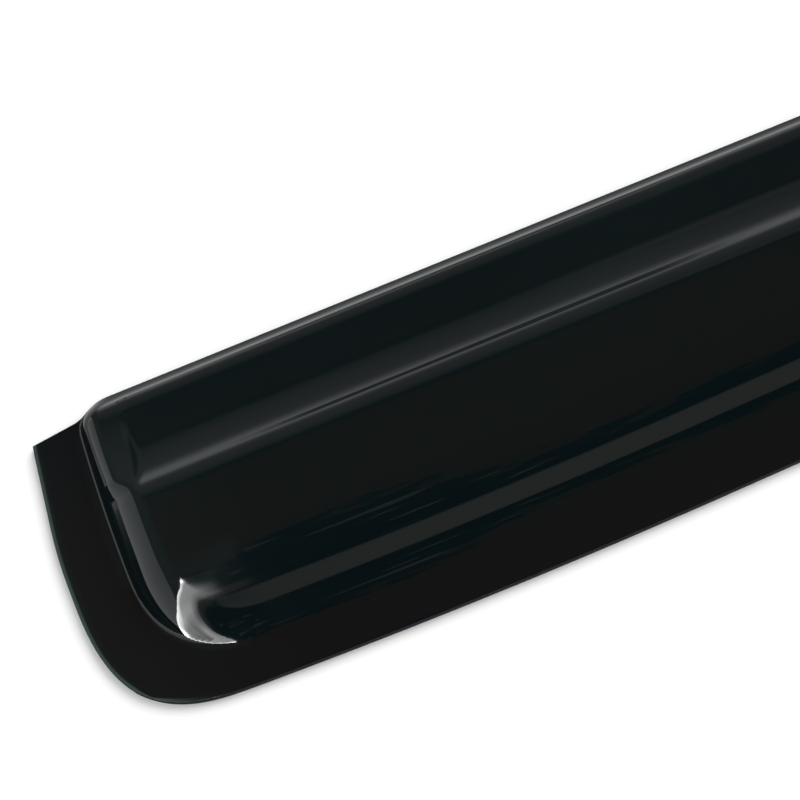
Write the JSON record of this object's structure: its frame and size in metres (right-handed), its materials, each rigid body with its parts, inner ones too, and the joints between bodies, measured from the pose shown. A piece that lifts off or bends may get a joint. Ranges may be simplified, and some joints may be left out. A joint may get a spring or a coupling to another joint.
{
  "type": "window rain deflector",
  "caption": "Glossy smoke acrylic rain deflector for a car door window, with a flat fixing flange, a hollow shell, a sunk strip along its rear and a turned down lip.",
  "frame": {"origin": "centre of the plan box at the back face of the flange, which is the surface the part lies on", "axes": "+X along the length from the end that the picture shows to the far end, +Y across the width towards the free edge with the lip, +Z out of the flange towards the outer, glossy side"},
  "size_m": [0.5999, 0.1083, 0.0147],
  "materials": {
    "smoke_acrylic": "polished gloss"
  },
  "bodies": {
    "root": {"deflector": "smoke_acrylic"}
  },
  "joints": []
}
